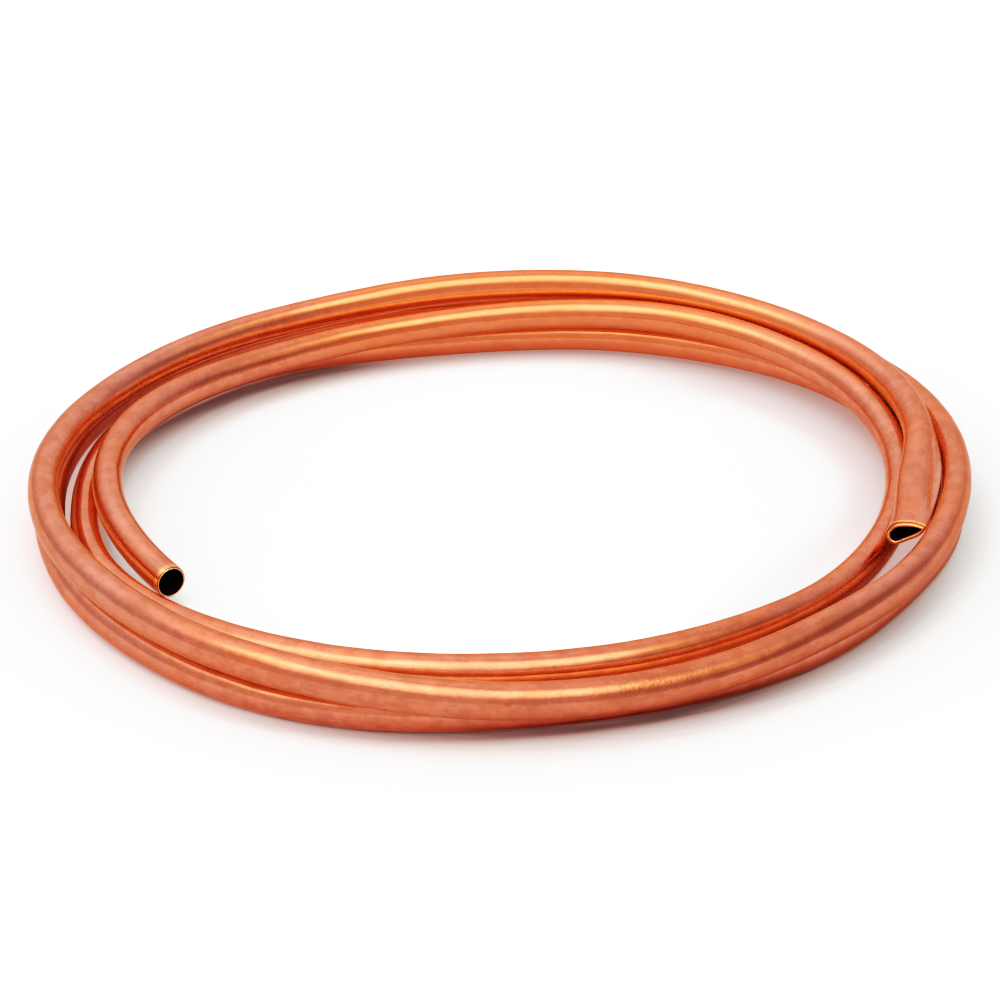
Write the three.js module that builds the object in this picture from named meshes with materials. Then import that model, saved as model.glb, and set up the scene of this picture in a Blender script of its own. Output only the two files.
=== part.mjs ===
// A loose coil of soft copper tube, one piece of tube about three metres long.
// Units are millimetres, +Z is up and the coil lies flat on the plane z = 0.
//
// The tube is hollow from end to end. Seen from above it winds clockwise for a
// little over three and a half turns. Its first end, low on the left, is cut
// square and round. Its last end, on the right, has been pinched by a blunt
// cutter into a drop shape with its point on the outside of the coil, and the
// point runs back along the tube as a thin fin that fades into the round tube.
import * as THREE from "three";

// ---- driving dimensions ----
const TUBE_OD = 10; // outside diameter of the straight tube
const WALL = 0.8; // wall thickness
const FIRST_END_ANGLE = 214.06; // where the round end lies, degrees from +X about the coil's axis
const WOUND_ANGLE = 1315.41; // degrees of winding from the round end to the pinched end

// The centre-line: its distance from the coil's axis and its height, one value
// for each ROW_STEP degrees of winding. The first row lies one step before the
// round end and the last ones lie past the pinched end, so that the curve
// through the rows has its slope at both ends.
const ROW_STEP = 10;
const RADII = [
  113.69, 115.47, 117.29, 119.40, 121.17, 122.12, 122.06, 120.95, 119.16, 117.24,
  115.93, 115.37, 115.81, 117.62, 120.38, 123.63, 126.75, 128.91, 130.09, 130.64,
  130.03, 128.11, 125.31, 122.27, 119.47, 117.00, 115.56, 115.36, 116.31, 117.92,
  118.84, 119.37, 120.76, 122.16, 122.85, 123.53, 124.95, 126.65, 128.08, 128.19,
  128.09, 128.83, 129.16, 128.80, 127.92, 126.53, 124.61, 122.70, 121.76, 122.33,
  124.38, 127.31, 130.37, 133.49, 136.44, 138.17, 138.50, 138.29, 138.05, 137.23,
  134.94, 132.26, 131.06, 130.56, 129.74, 129.33, 129.81, 131.11, 133.15, 135.57,
  137.50, 138.23, 138.15, 138.12, 138.10, 138.22, 139.49, 141.44, 143.45, 144.95,
  144.36, 141.45, 140.32, 140.40, 140.99, 141.88, 143.63, 145.96, 148.33, 150.35,
  150.67, 148.99, 146.48, 143.71, 141.21, 139.37, 138.17, 137.57, 136.73, 135.96,
  136.90, 138.80, 140.54, 142.27, 143.42, 143.85, 143.34, 141.74, 140.03, 139.24,
  139.54, 139.90, 140.15, 139.73, 139.24, 137.43, 135.16, 132.11, 129.24, 127.03,
  125.56, 126.23, 129.04, 133.07, 137.03, 139.75, 140.86, 140.41, 138.08, 134.86,
  131.11, 128.17, 127.05, 127.00, 127.15, 127.38,
];
const HEIGHTS = [
  7.24, 9.02, 10.77, 12.26, 13.40, 13.97, 13.99, 13.53, 12.90, 12.47,
  12.60, 13.14, 13.81, 14.65, 15.36, 15.99, 16.35, 15.96, 14.95, 13.75,
  12.23, 10.60, 9.21, 7.84, 6.68, 5.81, 6.09, 7.66, 9.53, 10.91,
  11.33, 11.20, 11.18, 10.83, 9.83, 8.50, 7.19, 6.08, 5.56, 5.31,
  5.44, 5.81, 6.19, 6.64, 6.91, 6.89, 6.38, 5.57, 5.18, 5.23,
  5.58, 5.98, 6.10, 6.23, 6.53, 6.44, 5.81, 5.17, 4.95, 4.94,
  5.03, 5.27, 5.27, 5.22, 5.48, 5.88, 6.16, 6.14, 5.84, 5.35,
  5.09, 5.24, 5.38, 5.35, 5.23, 5.20, 5.16, 5.09, 5.11, 5.52,
  7.16, 9.53, 10.43, 10.61, 10.61, 10.66, 10.49, 10.21, 9.98, 9.83,
  10.29, 11.50, 12.88, 14.21, 15.20, 15.64, 15.65, 15.18, 14.79, 14.65,
  14.53, 14.40, 14.56, 15.29, 16.41, 17.71, 18.27, 17.75, 17.15, 16.66,
  16.40, 16.35, 16.23, 15.92, 15.17, 15.71, 16.71, 17.92, 18.87, 20.27,
  22.11, 23.07, 23.02, 22.45, 21.29, 20.04, 19.05, 18.45, 18.65, 18.82,
  18.37, 17.42, 16.25, 15.04, 13.85, 12.67,
];

// Winding a soft tube leaves it slightly oval: this is its width across the
// coil at the same rows. Its height follows, because the metal keeps its
// length round the section.
const WIDTHS = [
  9.53, 9.53, 9.43, 9.27, 9.13, 9.10, 9.30, 9.58, 9.83, 9.92,
  9.91, 9.85, 9.83, 9.82, 9.79, 9.69, 9.54, 9.38, 9.24, 9.17,
  9.17, 9.28, 9.42, 9.51, 9.49, 9.39, 9.34, 9.40, 9.53, 9.62,
  9.60, 9.53, 9.50, 9.57, 9.64, 9.61, 9.47, 9.30, 9.21, 9.27,
  9.39, 9.51, 9.58, 9.62, 9.62, 9.61, 9.60, 9.60, 9.63, 9.66,
  9.67, 9.63, 9.58, 9.54, 9.53, 9.59, 9.70, 9.86, 10.08, 10.38,
  10.45, 10.09, 9.70, 9.58, 9.62, 9.65, 9.63, 9.59, 9.60, 9.65,
  9.69, 9.67, 9.60, 9.53, 9.52, 9.59, 9.68, 9.73, 9.71, 9.67,
  9.62, 9.59, 9.57, 9.56, 9.56, 9.57, 9.57, 9.56, 9.55, 9.55,
  9.55, 9.56, 9.56, 9.55, 9.47, 9.26, 8.97, 8.76, 8.87, 9.29,
  9.75, 9.95, 9.83, 9.58, 9.39, 9.35, 9.39, 9.47, 9.55, 9.57,
  9.52, 9.43, 9.36, 9.38, 9.46, 9.56, 9.61, 9.62, 9.59, 9.56,
  9.54, 9.53, 9.50, 9.49, 9.50, 9.59, 9.53, 9.45, 9.46, 9.46,
  9.46, 9.46, 9.46, 9.46, 9.46, 9.46,
];

// The pinched sections, in a plane across the tube: x points away from the
// coil's axis and y points up. Each row is a point of the outside and the point
// of the bore behind it, [x, y, bore x, bore y], anticlockwise from +x.
const PINCHED_END = [
  [6.49, 2.1, 5.6, 2.15],
  [5.68, 3.2, 5.1, 2.5],
  [3.11, 3.69, 3.05, 2.89],
  [0.43, 3.44, 0.57, 2.65],
  [-2.38, 2.63, -2.01, 1.92],
  [-4.25, 0.87, -3.59, 0.42],
  [-5.24, -1.54, -4.44, -1.59],
  [-4.46, -3.85, -3.84, -3.34],
  [-2.59, -4.93, -2.54, -4.13],
  [-0.52, -4.14, -0.94, -3.46],
  [2.25, -2.4, 1.83, -1.72],
  [4.84, -0.53, 4.27, 0.02],
];
// The cutter has rolled the cut edge inwards: the bore's outline in the cut.
const ROLLED_LIP = [
  [5.38, 1.78],
  [4.6, 2.16],
  [2.7, 2.2],
  [0.42, 1.9],
  [-1.8, 1.22],
  [-3.2, 0.05],
  [-4.03, -1.65],
  [-3.6, -2.88],
  [-2.4, -3.55],
  [-0.66, -2.75],
  [1.62, -1.25],
  [3.95, 0.32],
];
const LIP_BACK = 1.2; // degrees before the pinched end where the lip begins
const FINNED = [
  [6.55, 1.55, 5.35, 1.15],
  [3.75, 1.55, 3.7, 0.8],
  [1.3, 2.75, 1.1, 1.98],
  [-1.6, 3.1, -1.5, 2.3],
  [-4.4, 2.25, -4.0, 1.56],
  [-6.2, 0.6, -5.45, 0.35],
  [-6.5, -1.2, -5.7, -1.1],
  [-5.2, -2.8, -4.8, -2.1],
  [-2.7, -3.5, -2.6, -2.7],
  [-0.2, -3.1, -0.35, -2.32],
  [2.3, -1.9, 1.95, -1.18],
  [4.6, -0.4, 4.0, 0.2],
];
const FINNED_BACK = 15; // the fin is widest this many degrees before the pinched end
const PINCH_SPAN = 30; // and the tube is round again this many degrees before it

const SIDES = 12; // sides of the faceted tube
const RING_STEP = 7.5; // degrees between rings, at the same angles on every turn

// ---- centre-line ----
// Uniform Catmull-Rom interpolation through a table of rows.
function row(table, winding) {
  const s = winding / ROW_STEP + 1;
  const i = Math.min(Math.max(Math.floor(s), 1), table.length - 3);
  const f = s - i;
  const [a, b, c, d] = [table[i - 1], table[i], table[i + 1], table[i + 2]];
  return (
    b +
    0.5 *
      f *
      (c - a + f * (2 * a - 5 * b + 4 * c - d + f * (3 * (b - c) + d - a)))
  );
}

class CoilCentreline extends THREE.Curve {
  // u runs from 0 at the round end to 1 at the pinched end
  getPoint(u, target = new THREE.Vector3()) {
    const winding = u * WOUND_ANGLE;
    const angle = THREE.MathUtils.degToRad(FIRST_END_ANGLE - winding);
    const radius = row(RADII, winding);
    return target.set(
      radius * Math.cos(angle),
      radius * Math.sin(angle),
      row(HEIGHTS, winding),
    );
  }
}

// ---- section ----
const smooth = (t) => {
  const c = Math.min(Math.max(t, 0), 1);
  return c * c * (3 - 2 * c);
};

// The closed outline of the outside (inset 0) or of the bore (inset WALL).
function sectionAt(winding, inset) {
  // an oval as wide as the table says, whose height keeps the metal's length
  // round the section; the polygon has the oval's own area
  const part = (2 * Math.PI) / SIDES;
  const spread = Math.sqrt(part / Math.sin(part));
  const halfWidth = row(WIDTHS, winding) / 2;
  const halfHeight = Math.sqrt(TUBE_OD ** 2 / 2 - halfWidth ** 2);
  const oval = [];
  for (let k = 0; k < SIDES; k++) {
    const a = (k + 0.5) * part;
    oval.push(
      new THREE.Vector2(
        spread * (halfWidth - inset) * Math.cos(a),
        spread * (halfHeight - inset) * Math.sin(a),
      ),
    );
  }
  const pick = ([x, y, boreX, boreY]) =>
    inset ? new THREE.Vector2(boreX, boreY) : new THREE.Vector2(x, y);
  const back = WOUND_ANGLE - winding;
  const finned = smooth((PINCH_SPAN - back) / (PINCH_SPAN - FINNED_BACK));
  const ended = smooth((FINNED_BACK - back) / FINNED_BACK);
  const lip = inset ? smooth(1 - back / LIP_BACK) : 0;
  return oval.map((p, k) =>
    p
      .lerp(pick(FINNED[k]), finned)
      .lerp(pick(PINCHED_END[k]), ended)
      .lerp(new THREE.Vector2(...ROLLED_LIP[k]), lip),
  );
}

// ---- the swept wall ----
// Rings of section points run along the outside from the round end to the
// pinched end and back along the bore, which makes one closed surface with an
// annular face at each cut.
function hollowTube(path) {
  const windings = [0];
  const lowest = Math.ceil(-FIRST_END_ANGLE / RING_STEP);
  for (let k = lowest; ; k++) {
    const winding = FIRST_END_ANGLE + k * RING_STEP;
    if (winding > WOUND_ANGLE - 2.5) break;
    if (winding > 2.5) windings.push(winding);
  }
  windings.push(WOUND_ANGLE - LIP_BACK, WOUND_ANGLE);

  const up = new THREE.Vector3(0, 0, 1);
  const rings = (inset) =>
    windings.map((winding) => {
      const u = winding / WOUND_ANGLE;
      const centre = path.getPoint(u);
      const h = 1e-4;
      const along = path
        .getPoint(u + h)
        .sub(path.getPoint(u - h))
        .normalize();
      const out = up.clone().cross(along).normalize();
      const top = along.clone().cross(out);
      return sectionAt(winding, inset).map((p) =>
        centre
          .clone()
          .addScaledVector(out, p.x)
          .addScaledVector(top, p.y),
      );
    });
  const loop = [...rings(0), ...rings(WALL).reverse()];

  const position = [];
  for (const ring of loop) for (const p of ring) position.push(p.x, p.y, p.z);
  const index = [];
  loop.forEach((_, i) => {
    const a = i * SIDES;
    const b = ((i + 1) % loop.length) * SIDES;
    for (let k = 0; k < SIDES; k++) {
      const l = (k + 1) % SIDES;
      index.push(a + k, a + l, b + k, a + l, b + l, b + k);
    }
  });
  return new THREE.BufferGeometry()
    .setAttribute("position", new THREE.Float32BufferAttribute(position, 3))
    .setIndex(index);
}

const geometry = hollowTube(new CoilCentreline());
geometry.computeVertexNormals();

const copper = new THREE.MeshStandardMaterial({
  name: "copper",
  color: 0xc4714d,
  roughness: 0.38,
  metalness: 1,
});

const tube = new THREE.Mesh(geometry, copper);
tube.name = "copper_tube";

const coil = new THREE.Group();
coil.name = "copper_tube_coil";
coil.add(tube);

// the lowest facet of the bottom turn rests on z = 0
geometry.computeBoundingBox();
tube.position.z = -geometry.boundingBox.min.z;

export default coil;
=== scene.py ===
"""A loose coil of soft copper tube: the visual model, its studio and its camera.

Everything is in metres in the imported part's frame. The tube is one swept skin,
hollow from end to end, on the same centre-line as the part's solid.
"""

import math

import bpy
import numpy as np
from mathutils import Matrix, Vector
from mathutils.bvhtree import BVHTree


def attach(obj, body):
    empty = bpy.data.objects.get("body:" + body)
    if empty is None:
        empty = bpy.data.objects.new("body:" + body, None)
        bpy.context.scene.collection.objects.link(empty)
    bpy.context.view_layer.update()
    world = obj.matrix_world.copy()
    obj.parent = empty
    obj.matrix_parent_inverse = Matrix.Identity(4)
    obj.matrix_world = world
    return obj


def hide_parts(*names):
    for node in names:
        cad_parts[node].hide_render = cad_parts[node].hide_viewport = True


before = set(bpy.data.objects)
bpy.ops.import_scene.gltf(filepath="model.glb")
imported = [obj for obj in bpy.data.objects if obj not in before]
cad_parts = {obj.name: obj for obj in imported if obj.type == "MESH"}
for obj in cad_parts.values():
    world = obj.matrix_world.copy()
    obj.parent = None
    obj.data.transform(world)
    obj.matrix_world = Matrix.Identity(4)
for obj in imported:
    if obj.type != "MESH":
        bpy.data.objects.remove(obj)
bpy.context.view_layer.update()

# ------------------------------------------------------------------ the tube
# millimetres and degrees, as in the part's source
TUBE_OD = 10.0
WALL = 0.8
START = 214.06
WOUND = 1315.41
ROW_STEP = 10.0
LIFT = -0.012  # the solid's own drop onto z = 0

RADII = np.array([
    113.69, 115.47, 117.29, 119.40, 121.17, 122.12, 122.06, 120.95, 119.16, 117.24, 115.93, 115.37,
    115.81, 117.62, 120.38, 123.63, 126.75, 128.91, 130.09, 130.64, 130.03, 128.11, 125.31, 122.27,
    119.47, 117.00, 115.56, 115.36, 116.31, 117.92, 118.84, 119.37, 120.76, 122.16, 122.85, 123.53,
    124.95, 126.65, 128.08, 128.19, 128.09, 128.83, 129.16, 128.80, 127.92, 126.53, 124.61, 122.70,
    121.76, 122.33, 124.38, 127.31, 130.37, 133.49, 136.44, 138.17, 138.50, 138.29, 138.05, 137.23,
    134.94, 132.26, 131.06, 130.56, 129.74, 129.33, 129.81, 131.11, 133.15, 135.57, 137.50, 138.23,
    138.15, 138.12, 138.10, 138.22, 139.49, 141.44, 143.45, 144.95, 144.36, 141.45, 140.32, 140.40,
    140.99, 141.88, 143.63, 145.96, 148.33, 150.35, 150.67, 148.99, 146.48, 143.71, 141.21, 139.37,
    138.17, 137.57, 136.73, 135.96, 136.90, 138.80, 140.54, 142.27, 143.42, 143.85, 143.34, 141.74,
    140.03, 139.24, 139.54, 139.90, 140.15, 139.73, 139.24, 137.43, 135.16, 132.11, 129.24, 127.03,
    125.56, 126.23, 129.04, 133.07, 137.03, 139.75, 140.86, 140.41, 138.08, 134.86, 131.11, 128.17,
    127.05, 127.00, 127.15, 127.38,
])
HEIGHTS = np.array([
    7.24, 9.02, 10.77, 12.26, 13.40, 13.97, 13.99, 13.53, 12.90, 12.47, 12.60, 13.14,
    13.81, 14.65, 15.36, 15.99, 16.35, 15.96, 14.95, 13.75, 12.23, 10.60, 9.21, 7.84,
    6.68, 5.81, 6.09, 7.66, 9.53, 10.91, 11.33, 11.20, 11.18, 10.83, 9.83, 8.50,
    7.19, 6.08, 5.56, 5.31, 5.44, 5.81, 6.19, 6.64, 6.91, 6.89, 6.38, 5.57,
    5.18, 5.23, 5.58, 5.98, 6.10, 6.23, 6.53, 6.44, 5.81, 5.17, 4.95, 4.94,
    5.03, 5.27, 5.27, 5.22, 5.48, 5.88, 6.16, 6.14, 5.84, 5.35, 5.09, 5.24,
    5.38, 5.35, 5.23, 5.20, 5.16, 5.09, 5.11, 5.52, 7.16, 9.53, 10.43, 10.61,
    10.61, 10.66, 10.49, 10.21, 9.98, 9.83, 10.29, 11.50, 12.88, 14.21, 15.20, 15.64,
    15.65, 15.18, 14.79, 14.65, 14.53, 14.40, 14.56, 15.29, 16.41, 17.71, 18.27, 17.75,
    17.15, 16.66, 16.40, 16.35, 16.23, 15.92, 15.17, 15.71, 16.71, 17.92, 18.87, 20.27,
    22.11, 23.07, 23.02, 22.45, 21.29, 20.04, 19.05, 18.45, 18.65, 18.82, 18.37, 17.42,
    16.25, 15.04, 13.85, 12.67,
])
WIDTHS = np.array([
    9.53, 9.53, 9.43, 9.27, 9.13, 9.10, 9.30, 9.58, 9.83, 9.92, 9.91, 9.85,
    9.83, 9.82, 9.79, 9.69, 9.54, 9.38, 9.24, 9.17, 9.17, 9.28, 9.42, 9.51,
    9.49, 9.39, 9.34, 9.40, 9.53, 9.62, 9.60, 9.53, 9.50, 9.57, 9.64, 9.61,
    9.47, 9.30, 9.21, 9.27, 9.39, 9.51, 9.58, 9.62, 9.62, 9.61, 9.60, 9.60,
    9.63, 9.66, 9.67, 9.63, 9.58, 9.54, 9.53, 9.59, 9.70, 9.86, 10.08, 10.38,
    10.45, 10.09, 9.70, 9.58, 9.62, 9.65, 9.63, 9.59, 9.60, 9.65, 9.69, 9.67,
    9.60, 9.53, 9.52, 9.59, 9.68, 9.73, 9.71, 9.67, 9.62, 9.59, 9.57, 9.56,
    9.56, 9.57, 9.57, 9.56, 9.55, 9.55, 9.55, 9.56, 9.56, 9.55, 9.47, 9.26,
    8.97, 8.76, 8.87, 9.29, 9.75, 9.95, 9.83, 9.58, 9.39, 9.35, 9.39, 9.47,
    9.55, 9.57, 9.52, 9.43, 9.36, 9.38, 9.46, 9.56, 9.61, 9.62, 9.59, 9.56,
    9.54, 9.53, 9.50, 9.49, 9.50, 9.59, 9.53, 9.45, 9.46, 9.46, 9.46, 9.46,
    9.46, 9.46, 9.46, 9.46,
])


def spline(values, closed=False):
    """Second derivatives of the cubic spline through evenly spaced values."""
    n = len(values)
    if closed:
        m = np.zeros((n, n))
        for i in range(n):
            m[i, i], m[i, i - 1], m[i, (i + 1) % n] = 4, 1, 1
        rhs = 6 * (np.roll(values, 1) - 2 * values + np.roll(values, -1))
        return np.linalg.solve(m, rhs)
    m = np.zeros((n, n))
    rhs = np.zeros(n)
    m[0, 0] = m[-1, -1] = 1
    for i in range(1, n - 1):
        m[i, i - 1 : i + 2] = 1, 4, 1
        rhs[i] = 6 * (values[i - 1] - 2 * values[i] + values[i + 1])
    return np.linalg.solve(m, rhs)


def along_rows(values, winding):
    """The smooth curve through a table of rows, at windings in degrees."""
    second = spline(values)
    s = np.asarray(winding, float) / ROW_STEP + 1
    i = np.clip(np.floor(s).astype(int), 0, len(values) - 2)
    f = s - i
    a, b = 1 - f, f
    return (
        a * values[i]
        + b * values[i + 1]
        + ((a**3 - a) * second[i] + (b**3 - b) * second[i + 1]) / 6
    )


def closed_curve(points, at):
    """Points of the smooth closed curve through the points, at indices between them."""
    p = np.array(points, float)
    n = len(p)
    i = np.floor(at).astype(int)
    f = (at - i)[:, None]
    a, b = 1 - f, f
    i = i % n
    j = (i + 1) % n
    second = np.stack([spline(p[:, k], True) for k in range(p.shape[1])], 1)
    return (
        a * p[i] + b * p[j] + ((a**3 - a) * second[i] + (b**3 - b) * second[j]) / 6
    )


def smooth(t):
    c = np.clip(t, 0, 1)
    return c * c * (3 - 2 * c)


# angles round the section, anticlockwise from the outside of the coil, closer
# together at the crease
CREASE = 45.0
ANGLES = np.radians(
    np.concatenate(
        [
            np.linspace(CREASE - 12, CREASE + 12, 12, endpoint=False),
            np.linspace(CREASE + 12, CREASE + 348, 57, endpoint=False),
        ]
    )
)
SIDES = len(ANGLES)
# Sections near the pinched end, anticlockwise from +x, which points away from
# the coil's axis: x, y of the outside and of the bore.
PINCHED_END = [
    [6.49, 2.1, 5.6, 2.15],
    [5.68, 3.2, 5.1, 2.5],
    [3.11, 3.69, 3.05, 2.89],
    [0.43, 3.44, 0.57, 2.65],
    [-2.38, 2.63, -2.01, 1.92],
    [-4.25, 0.87, -3.59, 0.42],
    [-5.24, -1.54, -4.44, -1.59],
    [-4.46, -3.85, -3.84, -3.34],
    [-2.59, -4.93, -2.54, -4.13],
    [-0.52, -4.14, -0.94, -3.46],
    [2.25, -2.4, 1.83, -1.72],
    [4.84, -0.53, 4.27, 0.02],
]
FINNED = [
    [6.55, 1.55, 5.35, 1.15],
    [3.75, 1.55, 3.7, 0.8],
    [1.3, 2.75, 1.1, 1.98],
    [-1.6, 3.1, -1.5, 2.3],
    [-4.4, 2.25, -4.0, 1.56],
    [-6.2, 0.6, -5.45, 0.35],
    [-6.5, -1.2, -5.7, -1.1],
    [-5.2, -2.8, -4.8, -2.1],
    [-2.7, -3.5, -2.6, -2.7],
    [-0.2, -3.1, -0.35, -2.32],
    [2.3, -1.9, 1.95, -1.18],
    [4.6, -0.4, 4.0, 0.2],
]
# the bore's outline in the cut, where the wall is rolled in to a lip
ROLLED_LIP = [
    [5.38, 1.78],
    [4.6, 2.16],
    [2.7, 2.2],
    [0.42, 1.9],
    [-1.8, 1.22],
    [-3.2, 0.05],
    [-4.03, -1.65],
    [-3.6, -2.88],
    [-2.4, -3.55],
    [-0.66, -2.75],
    [1.62, -1.25],
    [3.95, 0.32],
]
LIP_BACK = 1.2
ASKEW = 0.9
FINNED_BACK = 15.0
PINCH_SPAN = 30.0
GROOVE = 0.7  # depth of the crease between the fin and the tube


def outlines(table):
    """The outline's points at ANGLES; the table's first point lies at half a step."""
    return closed_curve(table, ANGLES / (2 * np.pi) * len(table) - 0.5)


def sections(windings, share):
    """Outline points for each winding, in millimetres: (windings, SIDES, 2).

    share is 0 on the outside and 1 on the bore.
    """
    a = ANGLES
    half_w = along_rows(WIDTHS, windings) / 2
    half_h = np.sqrt(TUBE_OD**2 / 2 - half_w**2)
    inset = share * WALL
    out = np.stack(
        [
            (half_w - inset)[:, None] * np.cos(a),
            (half_h - inset)[:, None] * np.sin(a),
        ],
        -1,
    )
    back = WOUND - windings
    for table, amount in (
        (FINNED, smooth((PINCH_SPAN - back) / (PINCH_SPAN - FINNED_BACK))),
        (PINCHED_END, smooth((FINNED_BACK - back) / FINNED_BACK)),
    ):
        t = outlines(table)
        bore = t[None, :, 2:]
        if table is PINCHED_END:
            lip = smooth(1 - back / LIP_BACK)[:, None, None]
            bore = bore * (1 - lip) + outlines(ROLLED_LIP)[None] * lip
        shape = t[None, :, :2] * (1 - share) + bore * share
        amount = amount[:, None, None]
        out = out * (1 - amount) + shape * amount
    if share < 1:
        # the crease along the foot of the fin
        depth = GROOVE * smooth((PINCH_SPAN - 2 - back) / 6) * smooth((back - 3.5) / 4)
        foot = np.exp(-(((np.degrees(a) - CREASE) / 4.6) ** 2))
        out = out - (1 - share) * (depth[:, None] * foot)[..., None] * np.array([0.55, 0.83])
    return out


def centre_line(windings):
    angle = np.radians(START - windings)
    r = along_rows(RADII, windings)
    z = along_rows(HEIGHTS, windings) + LIFT
    return np.stack([r * np.cos(angle), r * np.sin(angle), z], -1)


def frames(windings):
    """Centre, outward and upward directions across the tube, and its own way."""
    c = centre_line(windings)
    t = centre_line(windings + 0.05) - centre_line(windings - 0.05)
    t /= np.linalg.norm(t, axis=1)[:, None]
    out = np.cross([0.0, 0.0, 1.0], t)
    out /= np.linalg.norm(out, axis=1)[:, None]
    return c, out, np.cross(t, out), t


# arc length along the centre-line, for spacing the rings and for the finish
fine = np.linspace(0, WOUND, 26429)
steps = np.linalg.norm(np.diff(centre_line(fine), axis=0), axis=1)
run = np.concatenate([[0], np.cumsum(steps)])
LENGTH = run[-1]


def winding_at(length):
    return np.interp(length, run, fine)


def ring_lengths(base, ends):
    """Lengths along the tube where the rings go: denser near both ends."""
    x = [0.0]
    while x[-1] < LENGTH:
        near = min(x[-1], LENGTH - x[-1])
        grow = min(1.0, max(near / ends, 0.0))
        x.append(x[-1] + 0.35 + (base - 0.35) * grow)
    x = np.array(x)
    return x * (LENGTH / x[-1])


class Skin:
    """Vertices and quads of one closed swept wall."""

    def __init__(self):
        self.verts, self.unrolled, self.faces, self.kinds = [], [], [], []

    def ring(self, points, unrolled):
        start = sum(len(v) for v in self.verts)
        self.verts.append(points)
        self.unrolled.append(unrolled)
        return start

    def join(self, a, b, kind):
        k = np.arange(SIDES)
        n = (k + 1) % SIDES
        self.faces.append(np.stack([a + k, a + n, b + n, b + k], 1))
        self.kinds.append(np.full(SIDES, kind))


def waves(length, a, count, shortest, longest, seed):
    """Smooth random height over the skin, about 1 at its peaks."""
    rng = np.random.default_rng(seed)
    total = np.zeros(np.broadcast(length, a).shape)
    for _ in range(count):
        k = 2 * np.pi / math.exp(rng.uniform(math.log(shortest), math.log(longest)))
        m = rng.integers(0, 4)
        p, q = rng.uniform(0, 2 * np.pi, 2)
        total += np.cos(k * length + p) * np.cos(m * a + q)
    return total / math.sqrt(count)


# Small dents and flats: winding, angle round the section from the outside of
# the coil over the top, depth, half length along the tube, half width round it
DENTS = [
    (1070.2, 53, 0.12, 2.2, 1.6),
    (1067, 62, 0.12, 2.2, 1.6),
    (33, 126, 0.15, 1.2, 4),
    (32, 151, 0.15, 1.2, 4),
    (1313.3, 90, 0.2, 0.5, 0.8),
    (1314, 83, 0.16, 0.5, 0.7),
]


def relief(windings, lengths, a):
    """Height in millimetres of the skin over the plain oval."""
    s = lengths[:, None]
    a = a[None]
    calm = smooth(np.minimum(lengths, LENGTH - lengths) / 12)[:, None]
    h = 0.030 * waves(s, a, 26, 14, 46, 7) + 0.012 * waves(s, a, 22, 5, 12, 11)
    h = h * calm
    for winding, angle, depth, along, across in DENTS:
        at = np.interp(winding, fine, run)
        turn = (a - math.radians(angle) + np.pi) % (2 * np.pi) - np.pi
        h = h - depth * np.exp(
            -(((s - at) / along) ** 2) - ((turn * TUBE_OD / 2 / across) ** 2)
        )
    return h


def ring_points(windings, share, ahead=0.0, lengths=None):
    """World points (mm) of the outline at each winding; ahead moves them along the tube."""
    c, out, up, way = frames(windings)
    s = sections(windings, share)
    if lengths is not None:
        a = ANGLES
        h = relief(windings, lengths, a)
        s = s + h[..., None] * np.stack([np.cos(a), np.sin(a)], -1)[None]
    # the round end is cut a little askew: its inner side reaches further out
    near = smooth(1 - np.interp(windings, fine, run) / 7.0)[:, None, None]
    askew = -ASKEW * near * ((1 - np.cos(ANGLES - math.radians(10))) / 2)[None, :, None]
    return (
        c[:, None]
        + s[..., :1] * out[:, None]
        + s[..., 1:] * up[:, None]
        + (ahead + askew) * way[:, None]
    )


def unrolled_points(lengths, radius):
    a = ANGLES
    lengths = np.asarray(lengths, float)
    p = np.zeros((len(lengths), SIDES, 3))
    p[..., 0] = radius * np.cos(a)
    p[..., 1] = radius * np.sin(a)
    p[..., 2] = lengths[:, None]
    return p


OUTSIDE, RIM, BORE, GROOVED, BURR = 0, 1, 2, 3, 4
skin = Skin()
# The cut ends: share of the wall from the outside, distance back from the cut, and
# what the wall is from there on. The cutter rolled the round end's edge over and
# left the other with a bead round the outside; in both a groove runs round the cut
# and a burr round the bore, pale with a painted highlight.
ROUND_RIM = [
    (0.0, 1.7, RIM),
    (0.03, 1.35, RIM),
    (0.08, 1.02, RIM),
    (0.15, 0.72, RIM),
    (0.23, 0.48, RIM),
    (0.31, 0.30, GROOVED),
    (0.39, 0.34, GROOVED),
    (0.47, 0.42, GROOVED),
    (0.55, 0.34, GROOVED),
    (0.62, 0.14, BURR),
    (0.69, 0.03, BURR),
    (0.78, 0.0, BURR),
    (0.88, 0.0, BURR),
    (0.95, 0.06, BURR),
    (1.0, 0.25, BURR),
]
DROP_RIM = [
    (0.0, 1.8, RIM),
    (-0.05, 1.5, RIM),
    (-0.09, 1.22, RIM),
    (-0.09, 0.96, RIM),
    (-0.03, 0.76, RIM),
    (0.06, 0.66, GROOVED),
    (0.14, 0.78, GROOVED),
    (0.23, 0.84, GROOVED),
    (0.32, 0.74, GROOVED),
    (0.39, 0.50, RIM),
    (0.46, 0.26, RIM),
    (0.55, 0.09, RIM),
    (0.66, 0.01, RIM),
    (0.77, 0.02, BURR),
    (0.88, 0.12, BURR),
    (1.0, 0.42, BURR),
]

outer_at = ring_lengths(2.85, 50.0)[1:-1]
outer_at = outer_at[(outer_at > 2.3) & (outer_at < LENGTH - 2.4)]
bore_at = ring_lengths(16.0, 120.0)[1:-1]
bore_at = bore_at[(bore_at > 0.6) & (bore_at < LENGTH - 0.6)]

chain = []  # (start index, kind of the wall that leads on to the next ring)


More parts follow.
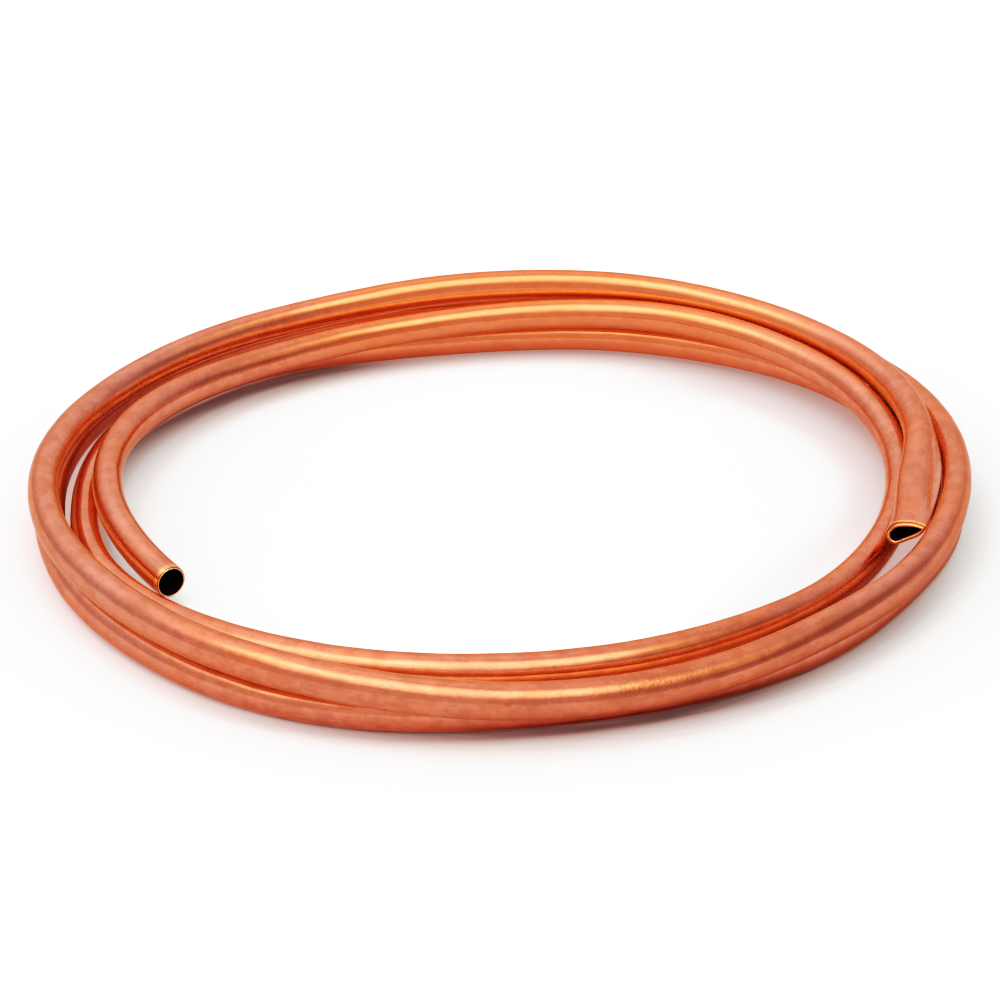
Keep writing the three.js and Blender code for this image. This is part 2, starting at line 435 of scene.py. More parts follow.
def add_rim(profile, winding, way, length):
    for share, behind, kind in profile:
        p = ring_points(np.array([winding]), share, -way * behind)[0]
        at = length - way * behind + way * 0.8 * share
        u = unrolled_points([at], TUBE_OD / 2)[0]
        chain.append((skin.ring(p, u), kind))


inward = [k for _, _, k in ROUND_RIM[::-1]]
add_rim([(a, b, k) for (a, b, _), k in zip(ROUND_RIM[::-1], inward[1:] + [RIM])], 0.0, -1, 0.0)
chain[-1] = (chain[-1][0], OUTSIDE)
wd = winding_at(outer_at)
pts = ring_points(wd, 0.0, 0.0, outer_at)
unr = unrolled_points(outer_at, TUBE_OD / 2)
for p, u in zip(pts, unr):
    chain.append((skin.ring(p, u), OUTSIDE))
add_rim(DROP_RIM, WOUND, 1, LENGTH)
chain[-1] = (chain[-1][0], BORE)
wb = winding_at(bore_at)[::-1]
pts = ring_points(wb, 1.0)
unr = unrolled_points(bore_at[::-1], TUBE_OD / 2 - WALL)
for p, u in zip(pts, unr):
    chain.append((skin.ring(p, u), BORE))
for (a, kind), (b, _) in zip(chain, chain[1:] + chain[:1]):
    skin.join(a, b, kind)

verts = np.concatenate(skin.verts) * 0.001
unrolled = np.concatenate(skin.unrolled) * 0.001
faces = np.concatenate(skin.faces)
kinds = np.concatenate(skin.kinds)

mesh = bpy.data.meshes.new("coiled_tube")
mesh.vertices.add(len(verts))
mesh.vertices.foreach_set("co", verts.astype(np.float32).ravel())
mesh.loops.add(faces.size)
mesh.loops.foreach_set("vertex_index", faces.astype(np.int32).ravel())
mesh.polygons.add(len(faces))
mesh.polygons.foreach_set("loop_start", (np.arange(len(faces)) * 4).astype(np.int32))
mesh.polygons.foreach_set("use_smooth", np.ones(len(faces), bool))
mesh.update(calc_edges=True)
attr = mesh.attributes.new("unrolled", "FLOAT_VECTOR", "POINT")
attr.data.foreach_set("vector", unrolled.astype(np.float32).ravel())

# A flat layout of the skin: the outside in ten strips, the bore squeezed into
# a column beside them, the rims above.
uv = np.zeros((len(faces), 4, 2))
first_ring = faces[:, 0] // SIDES
rings = len(chain)
at = np.array([u[0, 2] for u in skin.unrolled])
column = np.arange(len(faces)) % SIDES
across = np.stack([column, column + 1, column + 1, column], 1) / SIDES
head = first_ring
tail = (first_ring + 1) % rings
PER = 1 / 330.0
outside = kinds == OUTSIDE
rims = (kinds != OUTSIDE) & (kinds != BORE)
bore = kinds == BORE
strip_length = LENGTH / 10 + 1.5
strip = np.clip(((at[head] + at[tail]) / 2 / strip_length).astype(int), 0, 9)
lead = np.full(10, 1e9)
np.minimum.at(lead, strip[outside], np.minimum(at[head], at[tail])[outside])
ends_at = np.stack([at[head], at[head], at[tail], at[tail]], 1)
uv[outside, :, 0] = ((ends_at - lead[strip][:, None]) * PER + 0.004)[outside]
uv[outside, :, 1] = ((across * 31.4 + 0.6 + strip[:, None] * 32.2) * PER)[outside]
uv[bore, :, 0] = (0.945 + across * 0.05)[bore]
uv[bore, :, 1] = (0.01 + ends_at / LENGTH * 0.96)[bore]
round_end = rims & (ends_at.mean(1) < LENGTH / 2)
drop_end = rims & ~round_end
for chosen, left in ((round_end, 0.01), (drop_end, 0.15)):
    order = np.unique(head[chosen])
    step = {int(r): i for i, r in enumerate(order)}
    low = np.array([step.get(int(r), 0) for r in head])
    rise = np.stack([low, low, low + 1, low + 1], 1)
    uv[chosen, :, 0] = (left + across * 0.095)[chosen]
    uv[chosen, :, 1] = (0.9815 + rise * 0.0011)[chosen]
layout = mesh.uv_layers.new(name="OFBake")
layout.data.foreach_set("uv", uv.astype(np.float32).ravel())

tube = bpy.data.objects.new("coiled_tube", mesh)
bpy.context.scene.collection.objects.link(tube)
print("tube", len(verts), "vertices", 2 * len(faces), "triangles, length", LENGTH)


# ------------------------------------------------------------------ node helpers
def node(tree, kind, **settings):
    n = tree.nodes.new(kind)
    for k, v in settings.items():
        setattr(n, k, v)
    return n


def put(tree, socket, value):
    """Sets a socket to a number or a colour, or links it to another socket."""
    if isinstance(value, bpy.types.NodeSocket):
        tree.links.new(value, socket)
    else:
        socket.default_value = value


def ramp(tree, value, a, b, c=0.0, d=1.0, how="SMOOTHSTEP"):
    n = node(tree, "ShaderNodeMapRange", interpolation_type=how)
    for socket, v in zip(n.inputs, (value, a, b, c, d)):
        put(tree, socket, v)
    return n.outputs[0]


def maths(tree, operation, *values):
    n = node(tree, "ShaderNodeMath", operation=operation)
    for socket, v in zip(n.inputs, values):
        put(tree, socket, v)
    return n.outputs[0]


def total(tree, *values):
    out = values[0]
    for v in values[1:]:
        out = maths(tree, "ADD", out, v)
    return out


def product(tree, *values):
    out = values[0]
    for v in values[1:]:
        out = maths(tree, "MULTIPLY", out, v)
    return out


def stretched(tree, vector, x, y, z):
    n = node(tree, "ShaderNodeVectorMath", operation="MULTIPLY")
    put(tree, n.inputs[0], vector)
    n.inputs[1].default_value = (x, y, z)
    return n.outputs["Vector"]


def noise(tree, vector, scale, detail=3.0, rough=0.55, distort=0.0):
    n = node(tree, "ShaderNodeTexNoise")
    put(tree, n.inputs["Vector"], vector)
    put(tree, n.inputs["Scale"], scale)
    put(tree, n.inputs["Detail"], detail)
    put(tree, n.inputs["Roughness"], rough)
    put(tree, n.inputs["Distortion"], distort)
    return n.outputs["Fac"]


def blend(tree, amount, a, b):
    n = node(tree, "ShaderNodeMix", data_type="RGBA")
    put(tree, n.inputs[0], amount)
    put(tree, n.inputs[6], a)
    put(tree, n.inputs[7], b)
    return n.outputs[2]


def blank(name):
    m = bpy.data.materials.new(name)
    m.use_nodes = True
    return m, m.node_tree, m.node_tree.nodes["Principled BSDF"]


def skin_coordinates(tree):
    """Millimetres on the unrolled skin (x, y round the tube, z along it)."""
    n = node(tree, "ShaderNodeAttribute", attribute_name="unrolled")
    return stretched(tree, n.outputs["Vector"], 1000, 1000, 1000)


# ------------------------------------------------------------------ finish
copper, nt, bsdf = blank("drawn_copper")
mm = skin_coordinates(nt)
place = node(nt, "ShaderNodeSeparateXYZ")
put(nt, place.inputs[0], node(nt, "ShaderNodeTexCoord").outputs["Object"])
px, py, pz = place.outputs
round_it = node(nt, "ShaderNodeSeparateXYZ")
put(nt, round_it.inputs[0], mm)
top = ramp(nt, round_it.outputs[1], -3.5, 3.5)  # 1 on top of the tube, 0 beneath

clouds = noise(nt, stretched(nt, mm, 1, 1, 0.35), 0.055, 3.0, 0.55)
patches = noise(nt, stretched(nt, mm, 1, 1, 0.55), 0.17, 4.0, 0.6)
hoops = noise(nt, stretched(nt, mm, 0.25, 0.25, 1), 0.22, 2.0, 0.5)
lines = noise(nt, stretched(nt, mm, 1, 1, 0.018), 1.3, 3.0, 0.6)
grain = noise(nt, mm, 1.05, 2.0, 0.6)
fine_grain = noise(nt, mm, 2.6, 2.0, 0.6)
mottle = noise(nt, stretched(nt, mm, 1, 1, 0.7), 0.30, 5.0, 0.66)

right = ramp(nt, px, 0.060, 0.125)
left = ramp(nt, px, -0.095, -0.135)
side = total(nt, right, maths(nt, "MULTIPLY", left, 1.9))


def spots(tree, where, ragged, table):
    """Marks on the skin: length along the tube, half length, angle round it,
    half width and strength, with a ragged edge."""
    out = 0.0
    for length, half_length, angle, half_width, strength in table:
        a = math.radians(angle)
        off = node(tree, "ShaderNodeVectorMath", operation="SUBTRACT")
        put(tree, off.inputs[0], where)
        off.inputs[1].default_value = (5 * math.cos(a), 5 * math.sin(a), length)
        far = node(tree, "ShaderNodeVectorMath", operation="LENGTH")
        put(
            tree,
            far.inputs[0],
            stretched(
                tree, off.outputs["Vector"], 1 / half_width, 1 / half_width, 1 / half_length
            ),
        )
        d = total(tree, far.outputs["Value"], product(tree, ragged, 1.3), -0.65)
        out = maths(tree, "MAXIMUM", out, ramp(tree, d, 1.15, 0.45, 0.0, strength))
    return out


# stains on the skin, and two marks along the fin's crease (3012 and 3022) that are painted shade
STAINS_AND_CREASE_SHADE = [
    (2247, 8, 42, 3.2, 0.75),
    (3006, 3.2, 118, 2.6, 0.55),
    (2317, 5, 18, 2.2, 0.45),
    (2296, 9, -12, 2.4, 0.35),
    (2389, 4, 27, 3.0, 0.35),
    (1359, 2.2, 10, 1.6, 0.6),
    (69, 4, 135, 3.0, 0.40),
    (2346, 1.2, 17, 0.8, 0.85),
    (631, 1.0, 34, 0.7, 0.85),
    (2250, 1.3, 68, 0.9, 0.90),
    (2463, 3, 53, 2.0, 0.40),
    (3037.4, 1.0, 91, 0.35, 0.95),
    (3038.8, 0.9, 83, 0.35, 0.95),
    # painted shade along the fin's crease
    (3012, 22, 45, 0.7, 0.80),
    (3022, 16, 52, 1.6, 0.35),
]
ETCHED = [
    (2306, 22, 50, 6, 1.0),
    (2345, 16, 35, 5, 0.5),
    (2262, 12, 20, 4, 0.6),
    (2380, 14, 10, 4, 0.5),
    (2459, 8, 55, 4, 0.8),
    (2560, 20, 160, 5, 0.5),
]
# painted highlights: pale bands along the pinched end's fin and its edge
EDGE_GLINTS = [
    (3018, 24, 28, 1.0, 0.50),
    (3033, 9, 58, 1.4, 0.35),
    (3036, 10, 186, 0.5, 0.7),
]
stains_and_crease_shade = spots(nt, mm, mottle, STAINS_AND_CREASE_SHADE)
etched = maths(
    nt,
    "MAXIMUM",
    spots(nt, mm, mottle, ETCHED),
    product(nt, ramp(nt, clouds, 0.58, 0.70), ramp(nt, patches, 0.44, 0.60), 0.7),
)
edge_glints = spots(nt, mm, mottle, EDGE_GLINTS)

CLEAN = (0.880, 0.252, 0.160, 1)
WARM = (0.895, 0.226, 0.124, 1)
PINK = (0.860, 0.276, 0.198, 1)
BROWN = (0.580, 0.165, 0.098, 1)
DARK = (0.290, 0.090, 0.055, 1)
# the colour of the painted highlights on the pinched end
GLINT_COLOUR = (0.760, 0.390, 0.330, 1)
# the colour of the painted sheen where the skin is seen edge on
EDGE_SHEEN = (0.900, 0.440, 0.350, 1)
PALE = (0.860, 0.420, 0.370, 1)
BRIGHT = (1.000, 0.240, 0.095, 1)

pinked = ramp(nt, total(nt, clouds, maths(nt, "MULTIPLY", side, 0.12)), 0.48, 0.74)
browned = product(
    nt,
    ramp(nt, total(nt, patches, maths(nt, "MULTIPLY", side, 0.05)), 0.53, 0.72),
    0.50,
)
hooped = product(nt, ramp(nt, hoops, 0.55, 0.75), ramp(nt, patches, 0.35, 0.6), 0.16)
specked = product(
    nt,
    ramp(nt, grain, 0.62, 0.74),
    total(nt, ramp(nt, clouds, 0.40, 0.62, 0.10, 0.5), product(nt, etched, 0.6)),
    ramp(nt, round_it.outputs[1], -0.5, 2.0, 0.1, 0.55),
)
lined = product(nt, ramp(nt, lines, 0.50, 0.72), 0.14)
colour = blend(nt, ramp(nt, patches, 0.30, 0.55), WARM, CLEAN)
colour = blend(nt, pinked, colour, PINK)
colour = blend(nt, browned, colour, BROWN)
colour = blend(nt, hooped, colour, BROWN)
colour = blend(nt, product(nt, ramp(nt, mottle, 0.44, 0.60), 0.50), colour, BROWN)
colour = blend(nt, lined, colour, BROWN)
peppered = product(nt, ramp(nt, fine_grain, 0.50, 0.66), ramp(nt, patches, 0.38, 0.60, 0.10, 0.34))
colour = blend(nt, peppered, colour, BROWN)
colour = blend(nt, specked, colour, DARK)
flank = product(nt, right, ramp(nt, round_it.outputs[0], 0.5, 4.0))
colour = blend(nt, product(nt, flank, 0.30), colour, BROWN)
colour = blend(nt, product(nt, etched, ramp(nt, mottle, 0.40, 0.55, 0.15, 0.75)), colour, BROWN)
# stains, and painted shade along the fin's crease
colour = blend(nt, stains_and_crease_shade, colour, BROWN)
# painted highlights along the pinched end's fin and edge
colour = blend(nt, edge_glints, colour, GLINT_COLOUR)
# the two sides of the coil and the pinched end are paler, the back is brighter
pale = maths(
    nt,
    "MAXIMUM",
    total(
        nt,
        ramp(nt, px, 0.060, 0.110, 0.0, 0.13),
        ramp(nt, px, -0.070, -0.115, 0.0, 0.18),
    ),
    ramp(nt, round_it.outputs[2], 2930, 2990, 0.0, 0.15),
)
colour = blend(nt, product(nt, ramp(nt, py, 0.040, 0.100), ramp(nt, px, -0.090, -0.040), 0.50), colour, BRIGHT)
colour = blend(nt, pale, colour, PALE)
# painted sheen: the skin's colour turns paler where it is seen edge on
facing = node(nt, "ShaderNodeLayerWeight")
facing.inputs["Blend"].default_value = 0.5
colour = blend(nt, ramp(nt, facing.outputs["Facing"], 0.66, 1.0, 0.0, 0.42), colour, EDGE_SHEEN)
# painted reflection colour: in reflections, not to the camera, the copper shows a paler and less red colour
seen_now = node(nt, "ShaderNodeLightPath").outputs["Is Camera Ray"]
put(nt, bsdf.inputs["Base Color"], blend(nt, seen_now, (0.82, 0.61, 0.43, 1), colour))
bsdf.inputs["Metallic"].default_value = 1.0
bsdf.inputs["Specular Tint"].default_value = (0.95, 0.62, 0.50, 1)
rough = total(
    nt,
    0.095,
    ramp(nt, mottle, 0.40, 0.62, -0.01, 0.035),
    product(nt, pinked, 0.06),
    product(nt, browned, 0.12),
    product(nt, right, 0.07),
    product(nt, etched, 0.10),
    product(nt, stains_and_crease_shade, 0.10),
    product(nt, edge_glints, 0.12),
    ramp(nt, lines, 0.3, 0.7, -0.015, 0.02),
    ramp(nt, grain, 0.40, 0.70, 0.0, 0.03),
)
# and in reflections it is rougher, so light comes out of the narrow gaps spread wide
again = maths(nt, "SUBTRACT", 1.0, seen_now)
put(nt, bsdf.inputs["Roughness"], total(nt, rough, product(nt, again, 0.45)))
height = total(
    nt,
    product(nt, lines, 0.7),
    product(nt, grain, top, 0.45),
    product(nt, fine_grain, top, 0.25),
    product(nt, patches, 3.0),
    product(nt, hoops, 1.5),
    product(nt, grain, etched, ramp(nt, round_it.outputs[1], 0.0, 2.5), 11.0),
    product(nt, mottle, stains_and_crease_shade, 4.0),
)
bump = node(nt, "ShaderNodeBump")
bump.inputs["Strength"].default_value = 1.0
bump.inputs["Distance"].default_value = 0.000006
put(nt, bump.inputs["Height"], height)
put(nt, bsdf.inputs["Normal"], bump.outputs[0])

# the cut metal of the two ends, bright, with the cutter's fine rings
cut, ct, cb = blank("cut_copper")
cm = skin_coordinates(ct)
turned = noise(ct, stretched(ct, cm, 0.2, 0.2, 1), 6.0, 2.0, 0.5)
smear = noise(ct, cm, 0.9, 3.0, 0.6)
put(
    ct,
    cb.inputs["Base Color"],
    blend(
        ct,
        ramp(ct, total(ct, product(ct, turned, 0.5), product(ct, smear, 0.5)), 0.35, 0.7),
        (0.94, 0.40, 0.22, 1),
        (0.90, 0.24, 0.09, 1),
    ),
)
cb.inputs["Metallic"].default_value = 1.0
put(ct, cb.inputs["Roughness"], ramp(ct, smear, 0.3, 0.7, 0.14, 0.26))
cbump = node(ct, "ShaderNodeBump")
cbump.inputs["Strength"].default_value = 1.0
cbump.inputs["Distance"].default_value = 0.000008
put(ct, cbump.inputs["Height"], total(ct, turned, product(ct, smear, 2.0)))
put(ct, cb.inputs["Normal"], cbump.outputs[0])

# the bore: dull, with brown streaks; its almost black colour is painted shade of the deep hollow
inner, it, ib = blank("dark_bore")
im = skin_coordinates(it)
streaks = noise(it, stretched(it, im, 1, 1, 0.05), 0.8, 3.0, 0.6)
bore_painted_shade = blend(
    it, ramp(it, streaks, 0.4, 0.7), (0.004, 0.003, 0.003, 1), (0.022, 0.009, 0.006, 1)
)
# painted light: in reflections the bore shows a bright copper colour
mouth = node(it, "ShaderNodeLightPath").outputs["Is Camera Ray"]
put(it, ib.inputs["Base Color"], blend(it, mouth, (0.95, 0.62, 0.50, 1), bore_painted_shade))
put(it, ib.inputs["Roughness"], ramp(it, streaks, 0.3, 0.7, 0.75, 0.95))
ib.inputs["Specular IOR Level"].default_value = 0.05
ibump = node(it, "ShaderNodeBump")
ibump.inputs["Strength"].default_value = 1.0
ibump.inputs["Distance"].default_value = 0.00002
put(it, ibump.inputs["Height"], streaks)
put(it, ib.inputs["Normal"], ibump.outputs[0])

# the groove in the cut, darker than the rest of the cut
groove_skin, gt, gb = blank("darker_groove")
gm = skin_coordinates(gt)
groove_mottle = noise(gt, gm, 1.4, 3.0, 0.6)
put(
    gt,
    gb.inputs["Base Color"],
    blend(gt, ramp(gt, groove_mottle, 0.35, 0.65), (0.52, 0.12, 0.045, 1), (0.70, 0.19, 0.075, 1)),
)
gb.inputs["Metallic"].default_value = 1.0
put(gt, gb.inputs["Roughness"], ramp(gt, groove_mottle, 0.3, 0.7, 0.30, 0.45))
gbump = node(gt, "ShaderNodeBump")
gbump.inputs["Strength"].default_value = 1.0
gbump.inputs["Distance"].default_value = 0.00001
put(gt, gbump.inputs["Height"], groove_mottle)
put(gt, gb.inputs["Normal"], gbump.outputs[0])

# the burr round the bore: its pale colour is a painted highlight along the bore's edge
pale, bt, bb = blank("bright_burr")
wm = skin_coordinates(bt)
burr_mottle = noise(bt, stretched(bt, wm, 1, 1, 0.4), 1.1, 3.0, 0.6)
put(
    bt,
    bb.inputs["Base Color"],
    blend(bt, ramp(bt, burr_mottle, 0.35, 0.68), (0.95, 0.66, 0.52, 1), (0.90, 0.40, 0.22, 1)),
)
bb.inputs["Metallic"].default_value = 1.0
put(bt, bb.inputs["Roughness"], ramp(bt, burr_mottle, 0.3, 0.7, 0.28, 0.40))
bbump = node(bt, "ShaderNodeBump")
bbump.inputs["Strength"].default_value = 1.0
bbump.inputs["Distance"].default_value = 0.000008
put(bt, bbump.inputs["Height"], burr_mottle)
put(bt, bb.inputs["Normal"], bbump.outputs[0])

for m in (copper, cut, inner, groove_skin, pale):
    mesh.materials.append(m)
mesh.polygons.foreach_set("material_index", kinds.astype(np.int32))
mesh.update()

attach(tube, "root")
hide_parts("copper_tube")

# ------------------------------------------------------------------ studio
# A flat floor in rings, finer under and beside the coil. Its colour is painted light and
# shadow: each point carries the soft light that reaches it past the coil, with the red that
# the copper sends back, and the same light as it is seen, painted brighter in the narrow gaps between the
# turns.
AROUND = 240
turn = 2 * np.pi * np.arange(AROUND) / AROUND
across = np.concatenate(
    [
        [0.020, 0.040, 0.055, 0.066, 0.074, 0.081, 0.087],
        np.arange(0.091, 0.166, 0.001),
        [0.169, 0.173, 0.179, 0.187, 0.2, 0.22, 0.26, 0.4, 1.5, 8.0],
    ]
)
ground = np.zeros((len(across), AROUND, 3))
ground[..., 0] = across[:, None] * np.cos(turn)
ground[..., 1] = across[:, None] * np.sin(turn)
SOFT_LIGHT = (
    # elevation from and to, and the light from equal steps of azimuth from the front
    (0, 20, (0.80, 0.92, 1.21, 0.94, 1.06, 1.46, 2.60, 0.22)),
    (20, 45, (0.0, 0.32, 2.01, 0.82, 1.60, 2.25, 2.56, 3.42)),
    (45, 70, (1.53, 2.37, 2.49, 2.45)),
    (70, 91, (2.16,)),
)
COPPER_GLOW = (0.70, 0.09)  # red light back from low copper on the right and the left
SKY = 256
j = np.arange(SKY) + 0.5
lean = np.sqrt(j / SKY)
spin = j * math.pi * (3 - math.sqrt(5))
sky = np.stack([lean * np.cos(spin), lean * np.sin(spin), np.sqrt(1 - lean**2)], 1)
rises = np.degrees(np.arcsin(sky[:, 2]))
faces_to = np.degrees(np.arctan2(sky[:, 0], -sky[:, 1])) % 360
sent = np.zeros(SKY)
for low_edge, high_edge, steps_round in SOFT_LIGHT:
    n = len(steps_round)
    sector = (((faces_to + 180 / n) % 360) // (360 / n)).astype(int)
    chosen = (rises >= low_edge) & (rises < high_edge)
    sent[chosen] = np.array(steps_round)[sector[chosen]]
glow_back = np.where(rises < 45, np.where(sky[:, 0] > 0, *COPPER_GLOW), 0.0)
cover = BVHTree.FromPolygons(verts.tolist(), faces.tolist())
rays = [Vector(d) for d in sky]
arriving = np.full((len(across), AROUND), sent.sum() / SKY)
returned = np.zeros((len(across), AROUND))
for i in range(len(across)):
    if 0.05 < across[i] < 0.25:
        for k in range(AROUND):
            at = Vector(ground[i, k]) + Vector((0, 0, 2e-5))
            hidden = np.array([cover.ray_cast(at, d, 0.4)[0] is not None for d in rays])
            arriving[i, k] = sent[~hidden].sum() / SKY
            returned[i, k] = glow_back[hidden].sum() / SKY


def eased(values):
    return (values * 2 + np.roll(values, 1, 1) + np.roll(values, -1, 1)) / 4


arriving, returned = eased(arriving), eased(returned)
spine = centre_line(fine)[::10]
low = spine[spine[:, 2] < 8.0]
low_r = np.hypot(low[:, 0], low[:, 1]) * 0.001
low_at = np.round(np.arctan2(low[:, 1], low[:, 0]) / (2 * np.pi) * AROUND).astype(int) % AROUND
inner_r = np.array([low_r[low_at == k].min() for k in range(AROUND)])
outer_r = np.array([low_r[low_at == k].max() for k in range(AROUND)])
between = smooth((across[:, None] - inner_r - 0.0005) / 0.003) * smooth(
    (outer_r - 0.0005 - across[:, None]) / 0.003
)
returned *= np.clip(0.35 + 4.2 * arriving, 0.0, 1.9)
on_floor = np.stack(
    [arriving + returned, arriving, arriving * (0.89 + 0.09 * smooth(arriving / 1.4))], -1
)
# painted light: the floor in the gaps between the turns is shown pale and pinkish
in_gap = np.array([0.88, 0.58, 0.54])
as_seen = on_floor + 0.75 * between[..., None] * (in_gap - on_floor)
shade = as_seen[..., 1:2]
# painted shadow made deeper in front of the coil, and painted light lifted away from the two sides
facing_front = smooth(-ground[..., 1:2] / 0.05)
as_seen = as_seen * (1 - 0.3 * facing_front * (1 - smooth(shade / 0.2)))
beside = np.cos(turn)[None, :, None] ** 2 * smooth((2.0 - shade) / 0.5)
as_seen *= 1 + 0.28 * (1 - beside) * np.clip((shade - 0.45) / 0.85, 0, 1) ** 0.8
# the room is darker on the right
window = np.exp(-((np.arange(-30, 31) / 12) ** 2))
window /= window.sum()
inner_edge, outer_edge = (
    np.convolve(np.tile(r, 3), window, "same")[AROUND : 2 * AROUND] for r in (inner_r, outer_r)
)
off_inside = inner_edge - across[:, None]
off_outside = across[:, None] - outer_edge
to_right = smooth((np.cos(turn)[None, :] - 0.15) / 0.5)
dimmed = 0.22 * smooth((0.040 - off_inside) / 0.025) * smooth(off_inside / 0.004 + 1)
dimmed += 0.03 * smooth((0.040 - off_outside) / 0.025) * smooth(off_outside / 0.004 + 1)
dimmed += 0.17 * np.exp(-(((off_inside - 0.022) / 0.011) ** 2))
as_seen *= 1 - (dimmed * to_right * (1 - between))[..., None]
# and the shadow inside the back is pale right up to the tube
at_back = smooth(ground[..., 1:2] / 0.05) * smooth((ground[..., :1] + 0.075) / 0.05)
at_back = at_back * smooth(off_inside / 0.004 + 2)[..., None]
as_seen = (as_seen**4 + (at_back * np.array([0.49, 0.28, 0.25])) ** 4) ** 0.25
# what the floor sends up to the copper: the near dark edge of the shadow counts
# for little except under the front right
OPEN = 2.1  # light on the open floor
shy = np.where(
    off_inside > 0, 0.45, 0.42 + 0.36 * smooth((ground[..., 0] + 0.03) / 0.05)
)
lifted = OPEN * (on_floor / OPEN) ** shy[..., None]
gap = smooth((outer_r - inner_r - 0.0115) / 0.003)[None, :, None]
in_gap_light = gap * 0.85 * in_gap + (1 - gap) * on_floor
on_floor = lifted + between[..., None] * (in_gap_light - lifted)
k = np.arange(AROUND)
quads = [
    np.stack(
        [
            i * AROUND + k,
            (i + 1) * AROUND + k,
            (i + 1) * AROUND + (k + 1) % AROUND,
            i * AROUND + (k + 1) % AROUND,
        ],
        1,
    )
    for i in range(len(across) - 1)
]
bm = bpy.data.meshes.new("floor")
bm.from_pydata(
    ground.reshape(-1, 3).tolist(),
    [],
    [tuple(range(AROUND))] + [tuple(int(v) for v in q) for b in quads for q in b],
)
for name, values in (("floor_light", on_floor), ("floor_seen", as_seen)):
    mark = bm.attributes.new(name, "FLOAT_COLOR", "POINT")
    rgba = np.concatenate([values, np.ones(values.shape[:2] + (1,))], -1)
    mark.data.foreach_set("color", rgba.astype(np.float32).ravel())
floor = bpy.data.objects.new("floor", bm)
bpy.context.scene.collection.objects.link(floor)
white = bpy.data.materials.new("white_floor")
white.use_nodes = True
ft = white.node_tree
ft.nodes.clear()


# the floor glows with this painted light and shadow: it sends the part about half the light that the camera
# sees on it
sends = node(ft, "ShaderNodeEmission")
sends.inputs["Strength"].default_value = 0.55
shows = node(ft, "ShaderNodeEmission")
shows.inputs["Strength"].default_value = 1.0
for shader, name in ((sends, "floor_light"), (shows, "floor_seen")):
    held = node(ft, "ShaderNodeAttribute", attribute_name=name)
    put(ft, shader.inputs["Color"], held.outputs["Color"])
mix = node(ft, "ShaderNodeMixShader")
put(ft, mix.inputs[0], node(ft, "ShaderNodeLightPath").outputs["Is Camera Ray"])
ft.links.new(sends.outputs[0], mix.inputs[1])
ft.links.new(shows.outputs[0], mix.inputs[2])
end = node(ft, "ShaderNodeOutputMaterial")
ft.links.new(mix.outputs[0], end.inputs[0])
bm.materials.append(white)

world = bpy.data.worlds.new("studio")
bpy.context.scene.world = world
world.use_nodes = True
wt = world.node_tree


def toward(tree, vector, azimuth, elevation):
    """Cosine of the angle between the vector and a direction, in degrees; azimuth 0 is the front."""
    a, e = math.radians(azimuth), math.radians(elevation)
    n = node(tree, "ShaderNodeVectorMath", operation="DOT_PRODUCT")
    put(tree, n.inputs[0], vector)
    n.inputs[1].default_value = (
        math.sin(a) * math.cos(e),
        -math.cos(a) * math.cos(e),
        math.sin(e),
    )
    return n.outputs["Value"]


def cap(tree, vector, azimuth, elevation, inner, outer, strength):
    """A soft-edged round light in the sky, full inside one angle and gone past the other."""
    return ramp(
        tree,
        toward(tree, vector, azimuth, elevation),
        math.cos(math.radians(outer)),
        math.cos(math.radians(inner)),
        0.0,
        strength,
    )


direction = node(wt, "ShaderNodeTexCoord").outputs["Generated"]
BASE = 0.69
PLAIN = [
    # azimuth, elevation, inner, outer, strength
    (174, 46, 22, 67, 0.43),
    (-117, 59, 18, 49, 0.34),
    (-32, 11, 10, 78, 0.17),
    (98, 31, 15, 71, -0.17),
    (-5, 69, 25, 34, 0.50),
    (-42, 78, 4, 29, -0.30),
    (85, 38, 12, 42, -0.12),
]
WARM_LIGHTS = [
    (-27, 71, 14, 23, 0.58),
    (-39, 50, 9, 29, 1.20),
    (-77, 59, 7, 36, 0.73),
    (28, 64, 3, 22, 0.98),
    (70, 54, 9, 33, 0.51),
    (-32, 41, 4, 20, -0.65),
    (26, 49, 2, 20, 0.76),
    (-42, 78, 4, 29, -0.41),
    (-84, 56, 1, 17, 1.58),
    (64, 60, 8, 17, 0.45),
    (0, 58, 14, 36, 0.60),
    (-18, 73, 4, 17, 0.75),
    (-30, 55, 6, 20, 0.30),
    (50, 62, 6, 20, 0.30),
]
cool = total(wt, BASE, *[cap(wt, direction, *c) for c in PLAIN])
keys = total(wt, 0.0, *[cap(wt, direction, *c) for c in WARM_LIGHTS])
whole = maths(wt, "ADD", cool, keys)
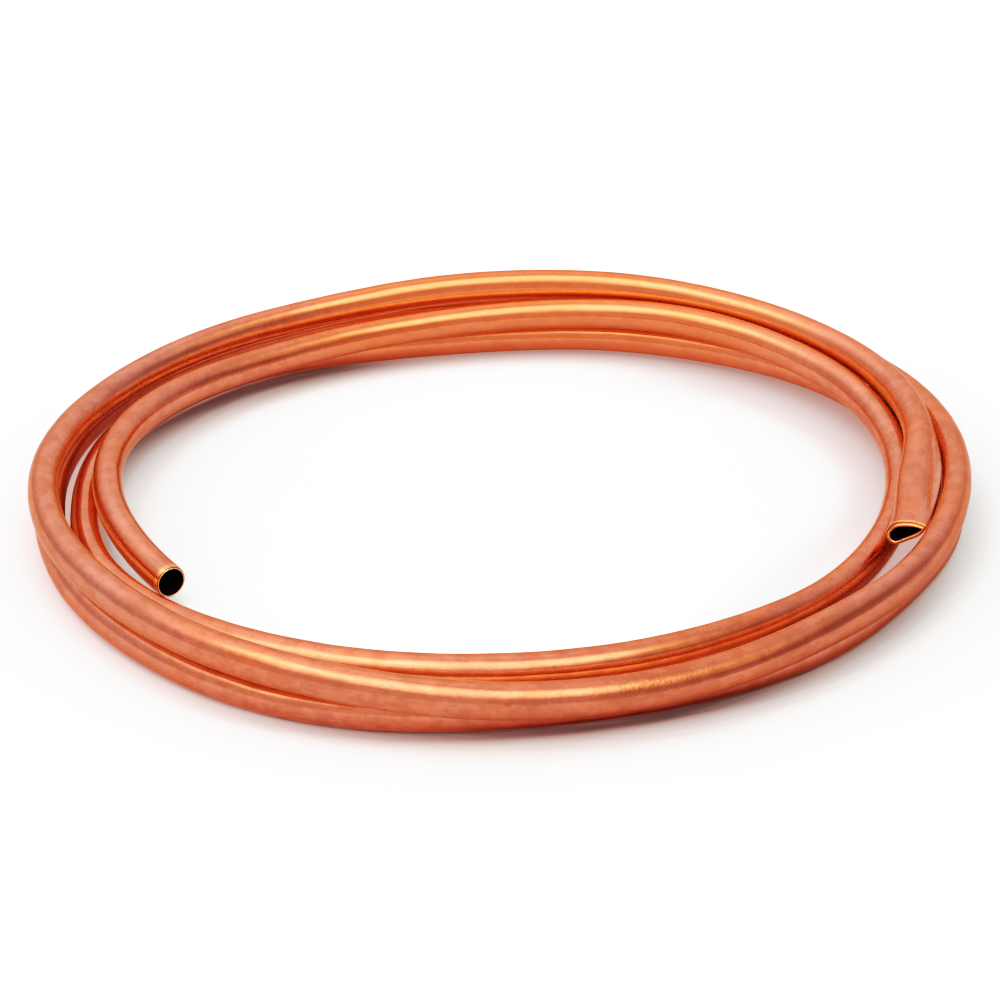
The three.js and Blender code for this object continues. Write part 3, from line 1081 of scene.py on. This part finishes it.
seen = node(wt, "ShaderNodeLightPath").outputs["Is Camera Ray"]
shine = node(wt, "ShaderNodeCombineColor")
put(wt, shine.inputs[0], whole)
put(wt, shine.inputs[1], whole)
put(wt, shine.inputs[2], maths(wt, "ADD", cool, maths(wt, "MULTIPLY", keys, 0.61)))
put(
    wt,
    wt.nodes["Background"].inputs["Color"],
    blend(wt, seen, shine.outputs[0], (2.4, 2.4, 2.4, 1)),
)
wt.nodes["Background"].inputs["Strength"].default_value = 1.0

# light goes to and fro many times in the seams between the turns
bpy.context.scene.cycles.glossy_bounces = 8

# a contrasty print: deep shadows and a soft shoulder into white
view = bpy.context.scene.view_settings
view.view_transform = "Standard"
view.gamma = 0.77
view.use_curve_mapping = True
tone = view.curve_mapping
WHITE = 2.182
tone.white_level = (WHITE, WHITE, WHITE)
curve = tone.curves[3]


PRINT = (
    # light, printed light
    (0.03, 0.0062),
    (0.06, 0.0205),
    (0.10, 0.0485),
    (0.16, 0.107),
    (0.23, 0.190),
    (0.32, 0.298),
    (0.42, 0.408),
    (0.52, 0.502),
    (0.62, 0.578),
    (0.72, 0.643),
    (0.84, 0.715),
    (1.00, 0.806),
    (1.13, 0.875),
    (1.27, 0.926),
    (1.48, 0.955),
    (1.80, 0.980),
)
for x, y in PRINT:
    curve.points.new(x / WHITE, y**0.77)
tone.update()

# ------------------------------------------------------------------ camera
ELEVATION = math.radians(26.69)
DISTANCE = 0.86056
FOCAL = 2741.24  # in pixels of a frame 1000 wide
centre = Vector((-0.340, 6.051, -0.012)) * 0.001
camera = bpy.data.cameras.new("camera")
camera.sensor_width = 36.0
camera.lens = FOCAL * 36.0 / 1000.0
camera.clip_start, camera.clip_end = 0.01, 100.0
cam = bpy.data.objects.new("camera", camera)
bpy.context.scene.collection.objects.link(cam)
cam.location = centre + DISTANCE * Vector(
    (0, -math.cos(ELEVATION), math.sin(ELEVATION))
)
cam.rotation_euler = (math.pi / 2 - ELEVATION, 0, 0)
bpy.context.scene.camera = cam
